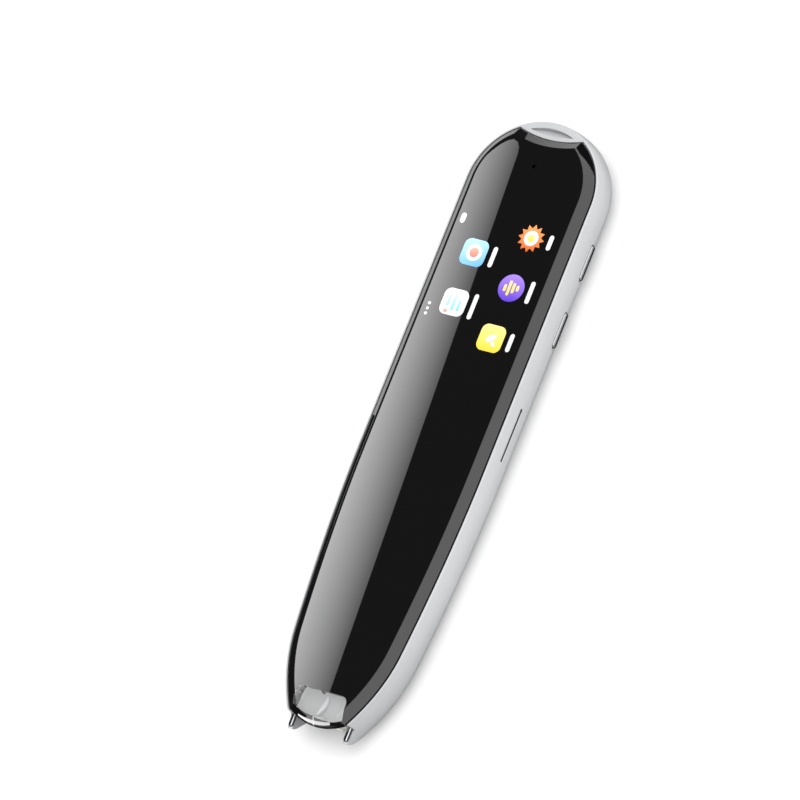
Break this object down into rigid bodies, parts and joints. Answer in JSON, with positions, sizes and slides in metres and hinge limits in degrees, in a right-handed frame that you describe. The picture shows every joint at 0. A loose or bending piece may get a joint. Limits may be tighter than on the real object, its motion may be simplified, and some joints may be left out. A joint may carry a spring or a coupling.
{
  "type": "scanning pen",
  "caption": "Flat hand-held text scanning pen with a colour touch display, two side buttons, a sprung scan trigger and a clear sight window at the nose.",
  "frame": {"origin": "middle of the flat back of the rear housing", "axes": "+X to the side with the two buttons, +Y from the nose to the tail, +Z out of the cover glass"},
  "size_m": [0.0365, 0.1552, 0.013],
  "materials": {
    "white_shell": "glossy moulded",
    "cover_glass": "polished, black printed underside",
    "black_plastic": "satin moulded",
    "clear_plastic": "frosted translucent",
    "button_metal": "satin anodised",
    "steel": "stamped",
    "display_cell": "polished",
    "circuit_board": "solder mask",
    "battery_foil": "laminated foil",
    "flat_cable": "polyimide film",
    "soft_rubber": "matte",
    "lamp_white": "moulded lamp",
    "lens_glass": "coated"
  },
  "bodies": {
    "casing": {"rear_housing": "white_shell", "front_glass": "cover_glass", "inner_frame": "black_plastic", "touch_sheet": "display_cell", "display_panel": "display_cell", "display_backlight": "steel", "display_flex": "flat_cable", "display_connector": "black_plastic", "camera_connector": "black_plastic", "main_board": "circuit_board", "processor_shield": "steel", "radio_shield": "steel", "charging_socket": "steel", "battery": "battery_foil", "battery_foam": "soft_rubber", "camera_flex": "flat_cable", "power_switch": "steel", "function_switch": "steel", "speaker_box": "black_plastic", "speaker_driver": "steel", "speaker_mesh": "soft_rubber", "scan_hood": "black_plastic", "sight_insert": "clear_plastic", "light_board": "circuit_board", "lamp_right": "lamp_white", "lamp_left": "lamp_white", "camera_barrel": "black_plastic", "camera_lens": "lens_glass", "image_sensor": "lens_glass", "camera_board": "circuit_board", "scan_board": "circuit_board", "trigger_switch": "steel", "microphone": "steel", "mic_gasket": "soft_rubber", "frame_screw_1": "steel", "frame_screw_2": "steel", "frame_screw_3": "steel", "frame_screw_4": "steel", "frame_screw_5": "steel", "frame_screw_6": "steel", "hood_screw_1": "steel", "hood_screw_2": "steel"},
    "power_key": {"power_button": "button_metal"},
    "function_key": {"function_button": "button_metal"},
    "trigger": {"scan_trigger": "black_plastic"}
  },
  "joints": [
    {"name": "power_press", "type": "slide", "parent": "casing", "child": "power_key", "axis": [-1, 0, 0], "range_m": [0, 0.0004], "stiffness_N_per_m": 1500},
    {"name": "function_press", "type": "slide", "parent": "casing", "child": "function_key", "axis": [-1, 0, 0], "range_m": [0, 0.0004], "stiffness_N_per_m": 1500},
    {"name": "scan_press", "type": "slide", "parent": "casing", "child": "trigger", "axis": [0, 1, 0], "range_m": [0, 0.0007], "stiffness_N_per_m": 900}
  ]
}
